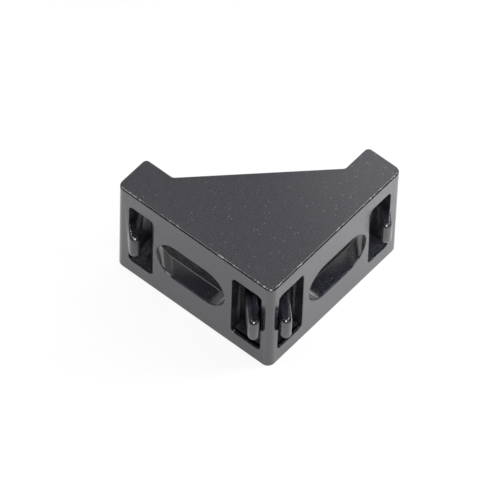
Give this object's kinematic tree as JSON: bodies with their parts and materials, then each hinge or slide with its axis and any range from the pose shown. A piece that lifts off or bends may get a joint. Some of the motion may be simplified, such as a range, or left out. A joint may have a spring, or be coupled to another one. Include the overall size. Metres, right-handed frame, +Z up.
{
  "type": "t slot corner bracket",
  "caption": "Cast right-angle corner bracket for slotted aluminium profile, with slotted screw holes and alignment lugs.",
  "frame": {"origin": "the inside corner that the bracket fits: where the planes of both mounting faces meet, level with the underside of the lower cheek", "axes": "+X out along one leg, +Y out along the other, +Z up across the width, from the lower cheek to the upper one"},
  "size_m": [0.0334, 0.0334, 0.02],
  "materials": {
    "black_coat": "semi-gloss black coating on a die casting, worn to bare specks along its edges"
  },
  "bodies": {
    "root": {"corner_bracket": "black_coat"}
  },
  "joints": []
}
